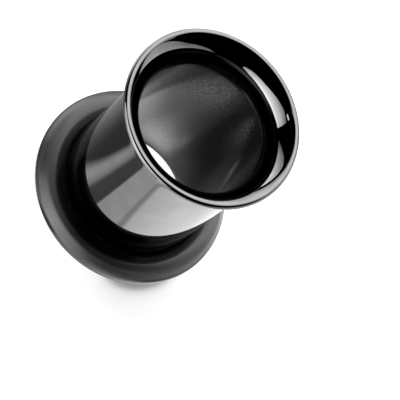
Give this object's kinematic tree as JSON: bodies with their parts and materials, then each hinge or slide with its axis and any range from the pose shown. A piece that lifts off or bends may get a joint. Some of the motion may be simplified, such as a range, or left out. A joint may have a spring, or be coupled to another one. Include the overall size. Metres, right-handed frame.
{
  "type": "flesh tunnel",
  "caption": "Hollow black-plated steel ear tunnel with one flared end, kept in a stretched lobe by a black rubber O-ring at its plain end.",
  "frame": {"origin": "centre of the plain end's face, on the surface that the tunnel stands on", "axes": "+Z along the tube's axis, from the plain end towards the flare; X and Y are any two radii"},
  "size_m": [0.0112, 0.0112, 0.0125],
  "materials": {
    "black_plated_steel": "black-plated surgical steel, mirror-polished outside and on the flare, satin in the bore",
    "black_rubber": "moulded, smooth and matt"
  },
  "bodies": {
    "root": {"tunnel": "black_plated_steel", "o_ring": "black_rubber"}
  },
  "joints": []
}
